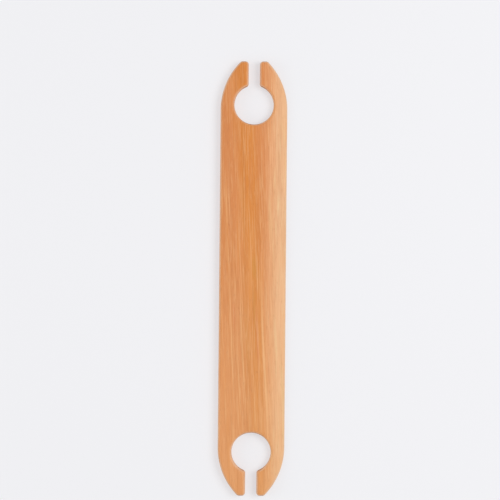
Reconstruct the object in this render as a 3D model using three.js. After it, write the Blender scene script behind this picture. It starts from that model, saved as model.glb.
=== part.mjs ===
// A belt shuttle for card and inkle weaving: one flat hardwood board, with a keyhole notch in
// each end that the weft is wound through, and one long edge thinned to beat the weft home.
//
// Millimetres, +Z up. The board lies on its flat back with its length along Y, and the origin is
// under its middle. The thinned edge is the +X one.

import * as THREE from "three";
import { mergeVertices, toCreasedNormals } from "three/addons/utils/BufferGeometryUtils.js";

// The board: 8 in long and 3/16 in thick, from a 1 1/4 in strip that is sanded a little narrower.
const LENGTH = 203.2;
const WIDTH = 31.2;
const THICKNESS = 4.76;

// The quarter round that eases every edge of both faces.
const EDGE_ROUND = 1.4;

// Seen from above, the corners of the horns and of the neck are this much rounder than the
// easing, so that the eased edge still turns them in a curve.
const CORNER_EXTRA = 0.15;

// Each end: the sides sweep in to two horns, one on either side of the notch.
const END_SWEEP = 22.5; // length of the swept stretch
const HORN_TIP_FLAT = 1.3; // blunt end of each horn, between its two rounded corners

// The notch: a round eye that holds the wound weft, and a slot that leads into it from the end.
const EYE_DIAMETER = 18.4;
const EYE_FROM_END = 20.3; // to the centre of the eye
const SLOT_WIDTH = 5.3;

// The beating edge: the top face rolls over a soft shoulder into a straight bevel.
const BEVEL_WIDTH = 12;
const SHOULDER_WIDTH = 8; // the part of the bevel in which the face turns down
const BEATING_EDGE_THICKNESS = 1.8;

// How far a flat facet may stand off a true arc, and how many facets round an edge and a shoulder.
const FACET_SAG = 0.02;
const EDGE_FACETS = 4;
const SHOULDER_FACETS = 5;

const satinHardwood = new THREE.MeshStandardMaterial({
  name: "satin_hardwood",
  color: "#db9662",
  roughness: 0.5,
  metalness: 0,
});

// Points along an arc, with as many facets as its radius needs.
function arcPoints(centre, radius, from, to, clockwise = false) {
  const facetAngle = 2 * Math.acos(1 - FACET_SAG / radius);
  const facets = Math.max(2, Math.ceil(Math.abs(to - from) / facetAngle));
  return new THREE.ArcCurve(centre.x, centre.y, radius, from, to, clockwise).getPoints(facets);
}

// Half of the +Y end, on its +X side, from the foot of the swept side to the floor of the eye.
// The points run anticlockwise, with wood on their left, and every arc is tangent to what it meets.
function hornPoints() {
  const endY = LENGTH / 2;
  const slotX = SLOT_WIDTH / 2;
  const eyeRadius = EYE_DIAMETER / 2;
  const cornerRound = EDGE_ROUND + CORNER_EXTRA;
  const innerCorner = new THREE.Vector2(slotX + cornerRound, endY - cornerRound);
  const outerCorner = new THREE.Vector2(innerCorner.x + HORN_TIP_FLAT, innerCorner.y);

  // The sweep leaves the side of the board and runs into the outer corner of the horn.
  const inward = WIDTH / 2 - outerCorner.x;
  const endward = END_SWEEP - cornerRound;
  const sweepRadius =
    (inward ** 2 + endward ** 2 - cornerRound ** 2) / (2 * (inward - cornerRound));
  const sweepCentre = new THREE.Vector2(WIDTH / 2 - sweepRadius, endY - END_SWEEP);
  const sweepTurn = Math.atan2(endward, outerCorner.x - sweepCentre.x);

  // The neck is the corner where the slot opens into the eye.
  const eye = new THREE.Vector2(0, endY - EYE_FROM_END);
  const neckRise = Math.sqrt((eyeRadius + cornerRound) ** 2 - innerCorner.x ** 2);
  const neck = new THREE.Vector2(innerCorner.x, eye.y + neckRise);
  const neckTurn = Math.atan2(neckRise, innerCorner.x);

  return [
    ...arcPoints(sweepCentre, sweepRadius, 0, sweepTurn),
    ...arcPoints(outerCorner, cornerRound, sweepTurn, Math.PI / 2),
    ...arcPoints(innerCorner, cornerRound, Math.PI / 2, Math.PI),
    ...arcPoints(neck, cornerRound, Math.PI, Math.PI + neckTurn),
    ...arcPoints(eye, eyeRadius, neckTurn, -Math.PI / 2, true),
  ];
}

// The whole outline: the half end and its mirror image, and both again, turned half round, for
// the other end. The point that two arcs share is kept once.
function outline() {
  const half = hornPoints();
  const mirrored = half.map((point) => new THREE.Vector2(-point.x, point.y)).reverse();
  const end = [...half, ...mirrored];
  const points = [...end, ...end.map((point) => point.clone().negate())];
  const isNew = (point, i) => point.distanceTo(points.at(i - 1)) > FACET_SAG / 2;
  return new THREE.Shape(points.filter(isNew));
}

// The board at full thickness, with both faces eased all round the outline.
function easedBlank() {
  const ease = Math.min(EDGE_ROUND, THICKNESS / 2 - FACET_SAG);
  const blank = new THREE.ExtrudeGeometry(outline(), {
    depth: THICKNESS - 2 * ease,
    bevelEnabled: true,
    bevelThickness: ease,
    bevelSize: ease,
    bevelOffset: -ease,
    bevelSegments: EDGE_FACETS,
  });
  return blank.translate(0, 0, ease);
}

// Where the bevel starts across the board, how wide its shoulder is, and its final slope.
const bevelStart = WIDTH / 2 - BEVEL_WIDTH;
const shoulderWidth = Math.min(SHOULDER_WIDTH, BEVEL_WIDTH);
const bevelSlope = (THICKNESS - BEATING_EDGE_THICKNESS) / (BEVEL_WIDTH - shoulderWidth / 2);

// Height of the top face at x across the board. Over the shoulder its slope grows evenly, from
// level to that of the bevel.
function topHeight(x) {
  const along = Math.max(0, x - bevelStart);
  const onShoulder = Math.min(along, shoulderWidth);
  const beyond = along - onShoulder;
  return THICKNESS - bevelSlope * (onShoulder ** 2 / (2 * shoulderWidth) + beyond);
}

// The part of a triangle on one side of the lengthwise line at x, as a polygon. A crossing point
// is worked out in the same way from either side, so that neighbours still meet.
function clipTriangle(corners, x, side) {
  const kept = [];
  corners.forEach((corner, i) => {
    const next = corners[(i + 1) % corners.length];
    if (side * (corner.x - x) >= 0) kept.push(corner);
    if ((corner.x - x) * (next.x - x) < 0) {
      const [left, right] = corner.x < next.x ? [corner, next] : [next, corner];
      kept.push(left.clone().lerp(right, (x - left.x) / (right.x - left.x)).setX(x));
    }
  });
  return kept;
}

// Divides the faces that cross the lengthwise line at x, so that they can turn down there.
function scoreLengthwise(geometry, x) {
  const position = geometry.getAttribute("position");
  const cornerAt = (i) => new THREE.Vector3().fromBufferAttribute(position, i);
  const points = [];
  for (let first = 0; first < position.count; first += 3) {
    const corners = [cornerAt(first), cornerAt(first + 1), cornerAt(first + 2)];
    const liesAlong = corners.every((corner) => corner.x === x);
    for (const side of liesAlong ? [1] : [-1, 1]) {
      const piece = clipTriangle(corners, x, side);
      for (let k = 2; k < piece.length; k++) points.push(piece[0], piece[k - 1], piece[k]);
    }
  }
  return new THREE.BufferGeometry().setFromPoints(points);
}

// Thins the board towards the beating edge. The back stays flat, and the eased edges thin with
// the wood that they run round.
function thinBeatingEdge(blank) {
  let geometry = blank;
  for (let i = 0; i <= SHOULDER_FACETS; i++) {
    geometry = scoreLengthwise(geometry, bevelStart + (shoulderWidth * i) / SHOULDER_FACETS);
  }
  const position = geometry.getAttribute("position");
  for (let i = 0; i < position.count; i++) {
    const thinning = topHeight(position.getX(i)) / THICKNESS;
    position.setZ(i, position.getZ(i) * thinning);
  }
  return mergeVertices(geometry);
}

// The one piece: the whole shuttle is cut from a single board.
function shuttleBody() {
  const creaseAngle = THREE.MathUtils.degToRad(30);
  const geometry = toCreasedNormals(thinBeatingEdge(easedBlank()), creaseAngle);
  const body = new THREE.Mesh(geometry, satinHardwood);
  body.name = "shuttle_body";
  return body;
}

const shuttle = new THREE.Group();
shuttle.name = "belt_shuttle";
shuttle.add(shuttleBody());

export default shuttle;
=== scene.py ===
"""A belt shuttle for card and inkle weaving, in oiled cherry, on a pale table.

The board is one piece of hardwood with a keyhole notch in each end and one long edge thinned as
a beater. It lies on its flat back, with its length along Y and the beating edge on the +X side.
"""

import math

import bmesh
import bpy
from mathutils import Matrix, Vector, noise


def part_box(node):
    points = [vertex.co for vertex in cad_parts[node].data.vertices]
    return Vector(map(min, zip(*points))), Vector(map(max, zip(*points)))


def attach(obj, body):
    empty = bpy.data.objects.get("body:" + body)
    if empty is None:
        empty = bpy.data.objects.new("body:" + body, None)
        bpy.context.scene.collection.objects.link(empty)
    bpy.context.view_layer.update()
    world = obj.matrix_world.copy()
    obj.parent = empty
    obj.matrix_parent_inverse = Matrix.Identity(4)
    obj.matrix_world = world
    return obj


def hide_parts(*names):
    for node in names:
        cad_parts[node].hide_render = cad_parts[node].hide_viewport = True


bl_info = {
    "name": "Belt Shuttle",
    "version": (1, 0, 0),
    "blender": (4, 5, 0),
    "location": "3D View > Sidebar > Shuttle",
    "description": "Builds a hardwood belt shuttle for card and inkle weaving",
    "category": "Object",
}

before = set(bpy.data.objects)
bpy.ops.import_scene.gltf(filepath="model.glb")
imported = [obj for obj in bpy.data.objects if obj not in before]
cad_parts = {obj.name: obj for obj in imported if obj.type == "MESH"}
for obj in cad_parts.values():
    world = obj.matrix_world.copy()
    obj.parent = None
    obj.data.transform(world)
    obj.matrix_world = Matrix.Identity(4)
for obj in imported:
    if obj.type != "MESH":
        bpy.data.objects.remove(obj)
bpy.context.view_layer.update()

MM = 0.001
NODE = "shuttle_body"
NODE_LOW, NODE_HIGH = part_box(NODE)
NODE_SIZE = NODE_HIGH - NODE_LOW

# The photograph's frame is 500 pixels square. The board's middle is a little right of the
# frame's middle and below it, and its length leans a little to the right.
FRAME_PIXELS = 500
BOARD_LENGTH_PIXELS = 435
BOARD_RIGHT_PIXELS = 2.8
BOARD_DOWN_PIXELS = 28.6
BOARD_LEAN = math.radians(0.51)

# How fine the outline is: a facet of the eye's wall, one of a small corner, and how many facets
# turn an eased edge
FACET = 0.4 * MM
CORNER_FACET = 0.16 * MM
EDGE_FACETS = 10

# How far apart the faces are scored: lengthwise on the flat and on the bevel, and across the
# board. The close lines start a little before the bevel, as its start wavers.
FLAT_STEP = 3 * MM
BEVEL_STEP = 0.5 * MM
BEVEL_LEAD = 1 * MM
CROSS_STEP = 4 * MM

# Points of the outline that are nearer to each other than this are one, and corners of faces that
# are nearer than this to a scored line lie on it
SAME_POINT = 0.02 * MM
ON_LINE = 0.005 * MM

# A ring of points this far inside the eased edges keeps the shading of both faces flat
SUPPORT = 0.1 * MM

# What handwork leaves: how far the start of the bevel wavers to either side, how much sanding
# takes off the top on average, and the share of the full quarter round that an edge has, on
# average and more or less
BEVEL_WAVER = 0.35 * MM
SANDED_OFF = 0.03 * MM
EASED_SHARE = 0.9
EASED_SPREAD = 0.1

# The grain, in millimetres. Its lines drift across by this share of the way that they run, and
# waver by this much in all, over these distances across and along.
GRAIN_DRIFT = 0.05
GRAIN_WAVER = 1.6
WAVER_ACROSS = 14
WAVER_ALONG = 60

# The growth rings lie this far apart, in millimetres, and move across by this share of the depth.
# The first part of each is plain, and the rest darkens.
RING_SPACING = 1.7
RING_SLOPE = 0.7
RING_SHADE = {"From Min": 0.3, "To Max": 0.5}

# How the tones change over the board, in millimetres: out from the line of the golden heart,
# across to the beating edge, and along to the -Y end. The paler tone towards the beating edge is
# partly the wood's own and partly a painted sheen on the bevel.
HEART_FADE = {"From Min": 1.5, "From Max": 7, "To Max": 0.9}
BEVEL_FADE = {"From Min": 3, "From Max": 15, "To Max": 0.9}
# Painted shade: the wood pales towards the -Y end, so the +Y part stays darker as if in shadow
END_SHADE_FADE = {"From Min": 45, "From Max": -90, "To Max": 0.34}

# How the paler edges grow as a surface leans off level, by the sine of its lean, and how little of
# them is left on a wall. They are partly sanding and partly a painted highlight on the eased
# edges. They come in patches about this wide, in millimetres, paled from half to fully. The noise
# that draws them lies mostly from 0.35 to 0.65.
EDGE_WEAR_AND_HIGHLIGHT = {"From Min": 0.26, "From Max": 0.8, "To Max": 0.75}
WALL_WEAR_AND_HIGHLIGHT = {"From Min": 0.88, "From Max": 1, "To Max": 0.15}
WEAR_AND_HIGHLIGHT_PATCH = 9
PATCH_WEAR_AND_HIGHLIGHT = {"From Min": 0.35, "From Max": 0.65, "To Min": 0.5}

# How the look of a cut end grows with the length of a surface's normal along the board. It starts
# late, as the eased edges above it stay pale: partly sanded and partly a painted highlight.
CUT_END = {"From Min": 0.6, "From Max": 1, "To Max": 0.85}

# How far the fibres stand up and the vessels sink in, in millimetres, how much smoother the fibres
# and rougher the wood between them are than the average, and how much rougher a cut end is
GRAIN_RELIEF = 0.02
ROUGHNESS_SPREAD = 0.05
CUT_END_ROUGHER = 0.12

# This board's own streaks, in millimetres: tone, place across and along, width, length, strength.
# A streak drifts with the grain and has its place across at its own place along. The amber streak
# at 34 mm along is painted shade.
STREAKS = (
    ("pale", -12.3, 33, 0.9, 26, 0.4),
    ("pale", -11.2, 10, 0.8, 26, 0.45),
    ("pale", -9.8, -26, 0.85, 88, 0.55),
    ("pale", -8.0, -4, 0.7, 26, 0.3),
    ("pale", -6.1, -46, 0.8, 50, 0.55),
    ("pale", -6.0, 12, 0.8, 50, 0.4),
    ("pale", -4.3, -34, 1.1, 76, 0.6),
    ("pale", -2.6, -24, 5.0, 60, 0.1),
    ("pale", -1.3, 16, 0.7, 62, 0.45),
    ("pale", 0.1, -34, 0.7, 36, 0.35),
    ("pale", 1.6, -58, 0.9, 44, 0.45),
    ("pale", 1.9, 4, 1.0, 44, 0.35),
    ("pale", 3.2, -28, 1.0, 36, 0.3),
    ("pale", 5.8, -39, 1.2, 112, 0.75),
    ("pale", 8.3, -62, 0.8, 20, 0.4),
    ("pale", 9.0, 8, 1.2, 24, 0.35),
    ("pale", 12.9, -12, 0.9, 22, 0.35),
    ("pale", 8.4, -12, 0.9, 20, 0.4),
    ("pale", 10.4, -16, 0.8, 18, 0.4),
    ("straw", 7.6, 28, 2.4, 34, 0.25),
    ("straw", 10.2, -28, 1.6, 32, 0.5),
    ("straw", 12.8, -55, 2.0, 44, 0.6),
    # Painted shade near the +Y end
    ("amber", -4.6, 34, 4.0, 40, 0.25),
    ("amber", 0.6, 5, 2.8, 17, 0.9),
    ("amber", 1.1, -12, 2.4, 26, 0.5),
    ("amber", -1.8, -30, 3.6, 48, 0.5),
    ("russet", -8.6, -17, 2.8, 18, 0.6),
    ("russet", -1.2, -32, 5.0, 70, 0.2),
    ("russet", 2.8, -27, 1.4, 40, 0.75),
    ("russet", 3.5, 9, 1.6, 16, 0.35),
)

# This share of a streak's half width has its full strength
STREAK_CORE = 0.2

# The table stands this little above the board's back, so that the back shows from below. A ray
# that has run less than this far passes through it, so that light reaches the eased edges there.
TABLE_RISE = 0.01 * MM
LIGHT_PASSES = 2 * MM

# Half the width of the table in metres, and how much of it is seen at its plain colour, whatever
# light falls on it: part of it near the board and all of it further away, in metres too
TABLE_REACH = 3
PLAIN_SHARE = {"From Min": 0.15, "From Max": 0.6, "To Min": 0.6, "To Max": 1}


def linear(hex_colour):
    """Turns an sRGB hex colour into a linear RGB one."""
    channels = [int(hex_colour[i:i + 2], 16) / 255 for i in (1, 3, 5)]
    return [c / 12.92 if c <= 0.04045 else ((c + 0.055) / 1.055) ** 2.4 for c in channels]


def size_prop(name, description, millimetres):
    """A length that a user would change."""
    return bpy.props.FloatProperty(
        name=name, description=description, default=millimetres * MM,
        min=0, unit="LENGTH", precision=5,
    )


def colour_prop(name, description, hex_colour):
    """A colour that a user would change."""
    return bpy.props.FloatVectorProperty(
        name=name, description=description, default=linear(hex_colour),
        subtype="COLOR", size=3, min=0, max=1,
    )


class ShuttleSizes(bpy.types.PropertyGroup):
    """The board's sizes. Its length, width and thickness come from the frame."""

    edge_round: size_prop("Edge round", "Quarter round that eases every edge", 1.4)
    corner_round: size_prop("Corner round", "Corners of horns and neck, from above", 1.55)
    end_sweep: size_prop("End sweep", "Length over which the sides sweep in", 22.5)
    horn_tip_flat: size_prop("Horn tip", "Blunt end of a horn, between its corners", 1.3)
    eye_diameter: size_prop("Eye", "Diameter of the round eye of a notch", 18.4)
    eye_from_end: size_prop("Eye from end", "From the end to the centre of the eye", 20.3)
    slot_width: size_prop("Slot", "Width of the slot that leads into the eye", 5.3)
    bevel_width: size_prop("Bevel", "Width of the thinned side", 12)
    shoulder_width: size_prop("Shoulder", "Width in which the face turns down", 8)
    beating_edge: size_prop("Beating edge", "Thickness left at the thin edge", 1.8)


class WoodLook(bpy.types.PropertyGroup):
    """The colours and the finish of the wood."""

    ochre: colour_prop("Ochre", "Golden wood along the middle of the board", "#DB8533")
    salmon: colour_prop("Salmon", "Pinker wood on both sides of it", "#DB8A4E")
    # Partly the wood's own tone and partly a painted sheen on the bevel
    honey_and_sheen: colour_prop("Honey", "Paler wood under the beating edge", "#E7AD77")
    pale: colour_prop("Pale", "Thin pale streaks", "#F3B97F")
    straw: colour_prop("Straw", "Yellower streaks in the paler wood", "#E9C48B")
    amber: colour_prop("Amber", "Deepest golden streaks", "#D4892F")
    russet: colour_prop("Russet", "Redder streaks", "#DD8149")
    # The paler eased edges are partly sanding and partly a painted highlight
    worn_and_highlight: colour_prop("Worn edge", "Edges that sanding left paler", "#EAC6A4")
    shade: colour_prop("Shade", "How the darker lines stain what they cross", "#E4DAC6")
    vessel: colour_prop("Vessel", "How the vessels stain what they cross", "#CDBBA0")
    end_grain: colour_prop("End grain", "Cut ends, darkened by the oil", "#B67544")
    roughness: bpy.props.FloatProperty(
        name="Roughness", description="Satin of the oiled surface", default=0.44, min=0, max=1,
    )


class StageLook(bpy.types.PropertyGroup):
    """The table, the light and the camera."""

    table: colour_prop("Table", "Colour of the table and of the wall behind it", "#F3F3F6")
    lens: bpy.props.FloatProperty(
        name="Lens", description="Focal length of the camera in millimetres", default=120,
        min=1, subtype="DISTANCE_CAMERA",
    )
    sky_strength: bpy.props.FloatProperty(
        name="Sky", description="Strength of the even light all round", default=0.54, min=0,
    )
    window_power: bpy.props.FloatProperty(
        name="Window", description="Power of the soft lamp high on the right", default=4.0, min=0,
        unit="POWER",
    )
    reflector_power: bpy.props.FloatProperty(
        name="Reflector", description="Power of the weak lamp low on the left", default=0.9, min=0,
        unit="POWER",
    )


def arc(centre, radius, start, stop, facet):
    """Points along an arc and the way each faces out of its centre, as pairs."""
    steps = max(2, math.ceil(abs(stop - start) * radius / facet))
    pairs = []
    for i in range(steps + 1):
        angle = start + (stop - start) * i / steps
        outward = Vector((math.cos(angle), math.sin(angle)))
        pairs.append((centre + outward * radius, outward))
    return pairs


def half_end(sizes):
    """Half of the +Y end, on its +X side: points with the way out of the wood at each.

    They run anticlockwise, from the foot of the sweep to the floor of the eye, and every arc is
    tangent to what it meets.
    """
    side = NODE_SIZE.x / 2
    tip = NODE_SIZE.y / 2
    corner = sizes.corner_round
    eye_radius = sizes.eye_diameter / 2
    inner = Vector((sizes.slot_width / 2 + corner, tip - corner))
    outer = inner + Vector((sizes.horn_tip_flat, 0))

    # The sweep leaves the side of the board and runs into the outer corner of the horn
    inward = side - outer.x
    endward = sizes.end_sweep - corner
    sweep_radius = (inward ** 2 + endward ** 2 - corner ** 2) / (2 * (inward - corner))
    sweep = Vector((side - sweep_radius, tip - sizes.end_sweep))
    sweep_turn = math.atan2(endward, outer.x - sweep.x)

    # The neck is the corner where the slot opens into the eye
    eye = Vector((0, tip - sizes.eye_from_end))
    neck_rise = math.sqrt((eye_radius + corner) ** 2 - inner.x ** 2)
    neck = Vector((inner.x, eye.y + neck_rise))
    neck_turn = math.atan2(neck_rise, inner.x)
    eye_wall = arc(eye, eye_radius, neck_turn, -math.pi / 2, FACET)

    return [
        *arc(sweep, sweep_radius, 0, sweep_turn, 2 * FACET),
        *arc(outer, corner, sweep_turn, math.pi / 2, CORNER_FACET),
        *arc(inner, corner, math.pi / 2, math.pi, CORNER_FACET),
        *arc(neck, corner, math.pi, math.pi + neck_turn, CORNER_FACET),
        *[(point, -outward) for point, outward in eye_wall],
    ]


def outline(sizes):
    """The whole outline, anticlockwise, with each shared point kept once."""
    half = half_end(sizes)
    mirror = Vector((-1, 1))
    end = half + [(point * mirror, out * mirror) for point, out in reversed(half)]
    pairs = end + [(-point, -out) for point, out in end]
    return [
        pair for i, pair in enumerate(pairs) if (pair[0] - pairs[i - 1][0]).length > SAME_POINT
    ]


def wander(x, y, wavelength, seed):
    """Smooth noise from -1 to 1 over the board, at about that wavelength."""
    return noise.noise(Vector((x / wavelength, y / wavelength, seed)))


def top_height(sizes, x, y):
    """Height of the top face: flat, then over a soft shoulder into the bevel, as left by hand."""
    thickness = NODE_SIZE.z
    waver = BEVEL_WAVER * wander(0, y, wavelength=45 * MM, seed=3.5)
    start = NODE_SIZE.x / 2 - sizes.bevel_width + waver
    slope = (thickness - sizes.beating_edge) / (sizes.bevel_width - sizes.shoulder_width / 2)
    past_start = max(0, x - start)
    on_shoulder = min(past_start, sizes.shoulder_width)
    drop = slope * (on_shoulder ** 2 / (2 * sizes.shoulder_width) + past_start - on_shoulder)
    sanded = SANDED_OFF * (1 + wander(x, y, wavelength=38 * MM, seed=7.5))
    return thickness - drop - sanded


def board_mesh(sizes):
    """The board as a mesh: rings of points round the outline, capped, scored and thinned."""
    thickness = NODE_SIZE.z
    quarter = [math.pi / 2 * i / EDGE_FACETS for i in range(EDGE_FACETS + 1)]
    mesh = bmesh.new()
    rings = []
    pairs = outline(sizes)
    eases = []
    for point, out in pairs:
        unevenness = EASED_SPREAD * wander(point.x, point.y, wavelength=14 * MM, seed=1.5)
        eases.append(sizes.edge_round * (EASED_SHARE + unevenness))

    def add_ring(angle, up, extra=0):
        """Adds a ring of points at one angle round the upper or the lower edge."""
        ring = []
        for (point, out), ease in zip(pairs, eases):
            inset = ease * (1 - math.cos(angle)) + extra
            rise = ease * (1 - math.sin(angle))
            height = thickness - rise if up else rise
            spot = point - out * inset
            ring.append(mesh.verts.new((spot.x, spot.y, height)))
        rings.append(ring)

    add_ring(quarter[-1], False, SUPPORT)
    for angle in reversed(quarter):
        add_ring(angle, False)
    for angle in quarter:
        add_ring(angle, True)
    add_ring(quarter[-1], True, SUPPORT)

    for low, high in zip(rings, rings[1:]):
        for i in range(len(low)):
            mesh.faces.new((low[i - 1], low[i], high[i], high[i - 1]))
    mesh.faces.new(reversed(rings[0]))
    mesh.faces.new(rings[-1])

    score(mesh, sizes)
    for vert in mesh.verts:
        x, y, z = vert.co
        vert.co.z = z * top_height(sizes, x, y) / thickness
    mesh.normal_update()
    return mesh


def score(mesh, sizes):
    """Divides the faces by lines along and across the board, close together on the bevel."""
    side = NODE_SIZE.x / 2
    tip = NODE_SIZE.y / 2
    before_bevel = side - sizes.bevel_width - BEVEL_LEAD
    across = Vector((1, 0, 0))
    along = Vector((0, 1, 0))
    lines = [(across, spot) for spot in steps_between(-side, before_bevel, FLAT_STEP)]
    lines += [(across, spot) for spot in steps_between(before_bevel, side, BEVEL_STEP)]
    lines += [(along, spot) for spot in steps_between(-tip, tip, CROSS_STEP)]
    for normal, spot in lines:
        everything = mesh.verts[:] + mesh.edges[:] + mesh.faces[:]
        bmesh.ops.bisect_plane(
            mesh, geom=everything, dist=ON_LINE, plane_co=normal * spot, plane_no=normal,
        )


def steps_between(start, stop, step):
    """Even places between two ends, both left out."""
    count = math.ceil((stop - start) / step)
    return [start + (stop - start) * i / count for i in range(1, count)]


def add(tree, kind, links=None, **settings):
    """Adds a node with its settings. links maps an input to a node, a socket or a value.

    A node there stands for the first of its outputs that is in use.
    """
    node = tree.nodes.new(kind)
    for name, value in settings.items():
        setattr(node, name, value)
    for name, source in (links or {}).items():
        if isinstance(source, bpy.types.Node):
            source = next(socket for socket in source.outputs if socket.enabled)
        if isinstance(source, bpy.types.NodeSocket):
            tree.links.new(source, node.inputs[name])
        else:
            node.inputs[name].default_value = source
    return node


def grain_place(tree, axes):
    """Where a point lies in the grain, in millimetres: across the rings, along, and round them."""
    slow = add(tree, "ShaderNodeCombineXYZ", {
        "X": add(tree, "ShaderNodeMath", {0: axes["X"], 1: WAVER_ACROSS}, operation="DIVIDE"),
        "Y": add(tree, "ShaderNodeMath", {0: axes["Y"], 1: WAVER_ALONG}, operation="DIVIDE"),
    })
    waver = add(tree, "ShaderNodeTexNoise", {"Vector": slow, "Scale": 1, "Detail": 1})
    waver = add(tree, "ShaderNodeMapRange",
                {"Value": waver, "To Min": -GRAIN_WAVER / 2, "To Max": GRAIN_WAVER / 2})
    depth = add(tree, "ShaderNodeMath", {0: axes["Z"], 1: NODE_SIZE.z / MM}, operation="SUBTRACT")
    across = add(tree, "ShaderNodeMath", {0: axes["X"], 1: waver}, operation="ADD")
    across = add(tree, "ShaderNodeMath", {0: axes["Y"], 1: GRAIN_DRIFT, 2: across},
                 operation="MULTIPLY_ADD")
    across = add(tree, "ShaderNodeMath", {0: depth, 1: RING_SLOPE, 2: across},
                 operation="MULTIPLY_ADD")
    around = add(tree, "ShaderNodeMath", {0: axes["X"], 1: -RING_SLOPE, 2: depth},
                 operation="MULTIPLY_ADD")
    return add(tree, "ShaderNodeCombineXYZ", {"X": across, "Y": axes["Y"], "Z": around})


def strands(tree, grain, width, length, seed, low, high):
    """How much of one kind of strand shows at each point, from 0 to 1.

    The strands are about that wide and long, in millimetres. They start to show where the noise
    passes low, and are full where it passes high.
    """
    spot = add(tree, "ShaderNodeVectorMath",
               {0: grain, 1: (1 / width, 1 / length, 1 / width), 2: (seed, seed, seed)},
               operation="MULTIPLY_ADD")
    field = add(tree, "ShaderNodeTexNoise", {"Vector": spot, "Scale": 1, "Detail": 1.5})
    return add(tree, "ShaderNodeMapRange", {"Value": field, "From Min": low, "From Max": high},
               interpolation_type="SMOOTHSTEP")


def own_streaks(tree, grain, wanted):
    """How much of this board's own streaks of one tone shows at each point.

    Each streak is a long ellipse that fades out from its core to its rim.
    """
    total = 0.0
    for tone, across, along, width, length, strength in STREAKS:
        if tone != wanted:
            continue
        reach = (2 / width, 2 / length, 0)
        offset = (-(across + GRAIN_DRIFT * along) * reach[0], -along * reach[1], 0)
        spot = add(tree, "ShaderNodeVectorMath", {0: grain, 1: reach, 2: offset},
                   operation="MULTIPLY_ADD")
        far = add(tree, "ShaderNodeVectorMath", {0: spot}, operation="LENGTH")
        near = add(tree, "ShaderNodeMapRange",
                   {"Value": far, "From Min": STREAK_CORE, "From Max": 1, "To Min": strength,
                    "To Max": 0}, interpolation_type="SMOOTHSTEP")
        total = add(tree, "ShaderNodeMath", {0: near, 1: total}, operation="ADD")
    return total


def edge_wear_and_highlight(tree, board, normal):
    """How pale each point is: partly sanding and partly a painted highlight, most on the eased
    edges, and unevenly, as by hand.
    """
    flat = add(tree, "ShaderNodeVectorMath", {0: normal, 1: (1, 1, 0)}, operation="MULTIPLY")
    lean = add(tree, "ShaderNodeVectorMath", {0: flat}, operation="LENGTH")
    off_face = add(tree, "ShaderNodeMapRange", {"Value": lean, **EDGE_WEAR_AND_HIGHLIGHT})
    patchy_paling = add(tree, "ShaderNodeTexNoise",
                  {"Vector": board, "Scale": 1 / WEAR_AND_HIGHLIGHT_PATCH, "Detail": 2})
    patchy_paling = add(tree, "ShaderNodeMapRange", {"Value": patchy_paling, **PATCH_WEAR_AND_HIGHLIGHT})
    off_side = add(tree, "ShaderNodeMapRange", {"Value": lean, "To Min": patchy_paling, **WALL_WEAR_AND_HIGHLIGHT})
    return add(tree, "ShaderNodeMath", {0: off_face, 1: off_side}, operation="MULTIPLY")


def growth_rings(tree, across):
    """How dark each ring is: it darkens slowly to its late wood and ends sharply at the next."""
    season = add(tree, "ShaderNodeMath", {0: across, 1: RING_SPACING}, operation="DIVIDE")
    season = add(tree, "ShaderNodeMath", {0: season}, operation="FRACT")
    return add(tree, "ShaderNodeMapRange", {"Value": season, **RING_SHADE},
               interpolation_type="SMOOTHSTEP")


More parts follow.
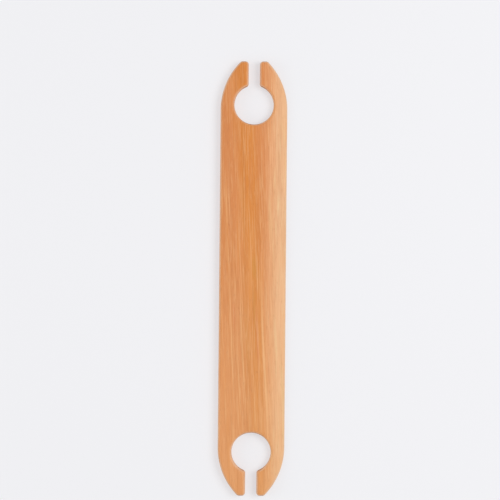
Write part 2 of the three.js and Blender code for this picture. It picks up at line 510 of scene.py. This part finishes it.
def oiled_cherry(look):
    """Cherry, planed and sanded along the grain, then oiled: salmon and ochre, with a satin sheen.

    The rings give broad bands, the fibres fine lines, and the vessels short dark dashes. Cut ends
    drink more oil, so they are darker, and they show the rings and the vessels end on. The eased
    edges are paler, unevenly, as by hand: partly sanded and partly a painted highlight.
    """
    material = bpy.data.materials.new("oiled_cherry")
    material.use_nodes = True
    tree = material.node_tree
    tree.nodes.clear()

    # The place on the board is in millimetres from here on
    place = add(tree, "ShaderNodeTexCoord").outputs
    board = add(tree, "ShaderNodeVectorMath", {"Vector": place["Object"], "Scale": 1 / MM},
                operation="SCALE")
    axes = add(tree, "ShaderNodeSeparateXYZ", {"Vector": board}).outputs
    facing = add(tree, "ShaderNodeSeparateXYZ", {"Vector": place["Normal"]}).outputs
    grain = grain_place(tree, axes)
    across = add(tree, "ShaderNodeSeparateXYZ", {"Vector": grain}).outputs["X"]

    from_heart = add(tree, "ShaderNodeMath", {0: across}, operation="ABSOLUTE")
    out_of_heart = add(tree, "ShaderNodeMapRange", {"Value": from_heart, **HEART_FADE},
                       interpolation_type="SMOOTHSTEP")
    under_bevel = add(tree, "ShaderNodeMapRange", {"Value": axes["X"], **BEVEL_FADE},
                      interpolation_type="SMOOTHSTEP")
    painted_shade_gradient = add(tree, "ShaderNodeMapRange", {"Value": axes["Y"], **END_SHADE_FADE})
    endways = add(tree, "ShaderNodeMath", {0: facing["Y"]}, operation="ABSOLUTE")
    cut_across = add(tree, "ShaderNodeMapRange", {"Value": endways, **CUT_END},
                     interpolation_type="SMOOTHSTEP")
    wear_and_highlight = edge_wear_and_highlight(tree, board, place["Normal"])
    late_wood = growth_rings(tree, across)

    ochre_bands = strands(tree, grain, width=2.2, length=60, seed=7, low=0.50, high=0.66)
    salmon_bands = strands(tree, grain, width=1.6, length=40, seed=11, low=0.50, high=0.66)
    dark_bands = strands(tree, grain, width=4.5, length=130, seed=3, low=0.42, high=0.64)

    # Real fibres are about 0.02 mm wide, far too fine to show, so these are drawn as the bundles
    # of them that the eye sees. Vessels are 0.1 mm wide and are drawn 0.35 mm wide along the
    # board, and 0.2 mm wide where a cut end shows their mouths.
    bundles = strands(tree, grain, width=0.5, length=110, seed=23, low=0.50, high=0.70)
    flecks = strands(tree, grain, width=0.45, length=6, seed=61, low=0.52, high=0.70)
    vessels = strands(tree, grain, width=0.35, length=3, seed=47, low=0.63, high=0.73)
    mouths = strands(tree, grain, width=0.2, length=3, seed=83, low=0.50, high=0.72)
    dark_lines = strands(tree, grain, width=0.5, length=90, seed=31, low=0.50, high=0.70)
    pale_lines = strands(tree, grain, width=0.7, length=26, seed=71, low=0.50, high=0.85)

    # Each layer on the ochre wood, from the bottom up: where it shows, how strongly, how it is
    # laid on and its tone
    layers = (
        (out_of_heart, 1, "MIX", look.salmon),
        (ochre_bands, 0.35, "MIX", look.ochre),
        (salmon_bands, 0.3, "MIX", look.salmon),
        (own_streaks(tree, grain, "amber"), 1, "MIX", look.amber),
        (own_streaks(tree, grain, "russet"), 1, "MIX", look.russet),
        # Paler wood towards the beating edge, partly a painted sheen on the bevel
        (under_bevel, 1, "MIX", look.honey_and_sheen),
        (own_streaks(tree, grain, "straw"), 1, "MIX", look.straw),
        # Painted shade: paler towards the -Y end, darker towards +Y
        (painted_shade_gradient, 1, "MIX", look.pale),
        (dark_bands, 0.25, "MULTIPLY", look.shade),
        (own_streaks(tree, grain, "pale"), 1, "MIX", look.pale),
        (bundles, 0.37, "MIX", look.pale),
        (flecks, 0.22, "MIX", look.pale),
        (pale_lines, under_bevel, "MIX", look.straw),
        (dark_lines, 0.37, "MULTIPLY", look.shade),
        (vessels, 0.3, "MULTIPLY", look.vessel),
        # Paler eased edges: partly sanding, partly a painted highlight
        (wear_and_highlight, 1, "MIX", look.worn_and_highlight),
        (cut_across, 1, "MIX", look.end_grain),
        (late_wood, cut_across, "MULTIPLY", look.vessel),
        (mouths, cut_across, "MULTIPLY", look.shade),
    )

    # Inputs 6 and 7 of a Mix node are the colour below and the one laid on it
    colour = (*look.ochre, 1)
    for share, strength, blend, tone in layers:
        amount = add(tree, "ShaderNodeMath", {0: share, 1: strength}, operation="MULTIPLY")
        colour = add(tree, "ShaderNodeMix", {0: amount, 6: colour, 7: (*tone, 1)},
                     data_type="RGBA", blend_type=blend)

    # The fibres stand up along the board only, and not where it is cut across
    roughness = add(tree, "ShaderNodeMapRange",
                    {"Value": bundles, "To Min": look.roughness + ROUGHNESS_SPREAD,
                     "To Max": look.roughness - ROUGHNESS_SPREAD})
    roughness = add(tree, "ShaderNodeMath", {0: cut_across, 1: CUT_END_ROUGHER, 2: roughness},
                    operation="MULTIPLY_ADD")
    fibres = add(tree, "ShaderNodeMath", {0: bundles, 1: cut_across}, operation="SUBTRACT",
                 use_clamp=True)
    relief = add(tree, "ShaderNodeMath", {0: fibres, 1: vessels}, operation="SUBTRACT")
    normal = add(tree, "ShaderNodeBump",
                 {"Height": relief, "Distance": GRAIN_RELIEF * MM, "Strength": 1})
    shader = add(tree, "ShaderNodeBsdfPrincipled",
                 {"Base Color": colour, "Roughness": roughness, "Normal": normal, "IOR": 1.48})
    add(tree, "ShaderNodeOutputMaterial", {"Surface": shader})
    return material


def seen_as_background(tree):
    """1 for a ray from the camera or one that a shiny or clear surface sends on, and 0 for light."""
    ray = add(tree, "ShaderNodeLightPath").outputs
    sent_on = add(tree, "ShaderNodeMath", {0: ray["Is Glossy Ray"], 1: ray["Is Transmission Ray"]},
                  operation="MAXIMUM")
    return add(tree, "ShaderNodeMath", {0: ray["Is Camera Ray"], 1: sent_on}, operation="MAXIMUM")


def painted_table(look):
    """Matt white paint, rolled on a board: pale and even, with the soft shadow of what lies on it.

    The camera sees part of it at its plain colour near the board, and all of it further away, so
    that it runs into the wall behind. It shows from above alone, and light that has come from
    close by passes through it.
    """
    material = bpy.data.materials.new("painted_table")
    material.use_nodes = True
    tree = material.node_tree
    tree.nodes.clear()
    paint = add(tree, "ShaderNodeBsdfPrincipled",
                {"Base Color": (*look.table, 1), "Roughness": 0.9})
    plain = add(tree, "ShaderNodeEmission", {"Color": (*look.table, 1), "Strength": 1})
    place = add(tree, "ShaderNodeTexCoord").outputs["Object"]
    away = add(tree, "ShaderNodeVectorMath", {0: place}, operation="LENGTH")
    share = add(tree, "ShaderNodeMapRange", {"Value": away, **PLAIN_SHARE},
                interpolation_type="SMOOTHSTEP")
    share = add(tree, "ShaderNodeMath", {0: share, 1: seen_as_background(tree)},
                operation="MULTIPLY")
    lit = add(tree, "ShaderNodeMixShader", {0: share, 1: paint, 2: plain})
    under = add(tree, "ShaderNodeNewGeometry").outputs["Backfacing"]
    ray_length = add(tree, "ShaderNodeLightPath").outputs["Ray Length"]
    touching = add(tree, "ShaderNodeMath", {0: ray_length, 1: LIGHT_PASSES},
                   operation="LESS_THAN")
    through = add(tree, "ShaderNodeMath", {0: under, 1: touching}, operation="MAXIMUM")
    clear = add(tree, "ShaderNodeBsdfTransparent")
    surface = add(tree, "ShaderNodeMixShader", {0: through, 1: lit, 2: clear})
    add(tree, "ShaderNodeOutputMaterial", {"Surface": surface})
    return material


def even_light(look):
    """The light of a white room, and a plain wall of the table's colour where the camera sees it."""
    world = bpy.data.worlds.new("even_light")
    world.use_nodes = True
    tree = world.node_tree
    tree.nodes.clear()
    room = add(tree, "ShaderNodeBackground",
               {"Color": (1, 1, 1, 1), "Strength": look.sky_strength})
    wall = add(tree, "ShaderNodeBackground", {"Color": (*look.table, 1), "Strength": 1})
    surface = add(tree, "ShaderNodeMixShader", {0: seen_as_background(tree), 1: room, 2: wall})
    add(tree, "ShaderNodeOutputWorld", {"Surface": surface})
    return world


class SHUTTLE_OT_board(bpy.types.Operator):
    """Build the board in place of its plain solid."""

    bl_idname = "shuttle.board"
    bl_label = "Board"

    def execute(self, context):
        sizes = context.scene.shuttle_sizes
        mesh = bpy.data.meshes.new("shuttle_board")
        built = board_mesh(sizes)
        built.to_mesh(mesh)
        built.free()
        mesh.shade_smooth()
        board = bpy.data.objects.new("shuttle_board", mesh)
        context.scene.collection.objects.link(board)
        mesh.materials.append(oiled_cherry(context.scene.wood_look))
        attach(board, "root")
        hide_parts(NODE)
        return {"FINISHED"}


class SHUTTLE_OT_stage(bpy.types.Operator):
    """Set the table, the light and the camera."""

    bl_idname = "shuttle.stage"
    bl_label = "Stage"

    def execute(self, context):
        scene = context.scene
        look = scene.stage_look
        scene.view_settings.view_transform = "Standard"

        table_mesh = bpy.data.meshes.new("table")
        grid = bmesh.new()
        bmesh.ops.create_grid(grid, x_segments=1, y_segments=1, size=TABLE_REACH)
        grid.to_mesh(table_mesh)
        grid.free()
        table = bpy.data.objects.new("table", table_mesh)
        table.location.z = TABLE_RISE
        scene.collection.objects.link(table)
        table_mesh.materials.append(painted_table(look))

        scene.world = even_light(look)

        # Each lamp is a soft square that faces the board, with its width and place in metres
        for name, power, width, place in (
            ("window", look.window_power, 0.5, (0.55, 0.1, 0.75)),
            ("reflector", look.reflector_power, 0.4, (-0.6, 0, 0.28)),
        ):
            light = bpy.data.lights.new(name, "AREA")
            light.energy = power
            light.size = width
            lamp = bpy.data.objects.new(name, light)
            lamp.location = place
            lamp.rotation_euler = lamp.location.to_track_quat("Z", "Y").to_euler()
            scene.collection.objects.link(lamp)

        # The camera looks straight down and is turned so that the board leans as in the photograph
        lens = bpy.data.cameras.new("camera")
        lens.lens = look.lens
        camera = bpy.data.objects.new("camera", lens)
        pixel = NODE_SIZE.y / BOARD_LENGTH_PIXELS
        distance = FRAME_PIXELS * pixel * look.lens / lens.sensor_width
        camera.location = (
            -BOARD_RIGHT_PIXELS * pixel, BOARD_DOWN_PIXELS * pixel, distance + NODE_SIZE.z,
        )
        camera.rotation_euler = (0, 0, BOARD_LEAN)
        scene.collection.objects.link(camera)
        scene.camera = camera
        return {"FINISHED"}


class SHUTTLE_PT_build(bpy.types.Panel):
    """Lists what can be built."""

    bl_label = "Belt Shuttle"
    bl_idname = "SHUTTLE_PT_build"
    bl_space_type = "VIEW_3D"
    bl_region_type = "UI"
    bl_category = "Shuttle"

    def draw(self, context):
        for operator in (SHUTTLE_OT_board, SHUTTLE_OT_stage):
            self.layout.operator(operator.bl_idname)


CLASSES = (
    ShuttleSizes, WoodLook, StageLook, SHUTTLE_OT_board, SHUTTLE_OT_stage, SHUTTLE_PT_build,
)


def register():
    """Adds the classes, and the settings that each scene keeps."""
    for cls in CLASSES:
        bpy.utils.register_class(cls)
    bpy.types.Scene.shuttle_sizes = bpy.props.PointerProperty(type=ShuttleSizes)
    bpy.types.Scene.wood_look = bpy.props.PointerProperty(type=WoodLook)
    bpy.types.Scene.stage_look = bpy.props.PointerProperty(type=StageLook)


def unregister():
    """Takes them away again."""
    del bpy.types.Scene.stage_look
    del bpy.types.Scene.wood_look
    del bpy.types.Scene.shuttle_sizes
    for cls in reversed(CLASSES):
        bpy.utils.unregister_class(cls)


def main():
    """Builds everything."""
    register()
    bpy.ops.shuttle.board()
    bpy.ops.shuttle.stage()


if __name__ == "__main__":
    main()
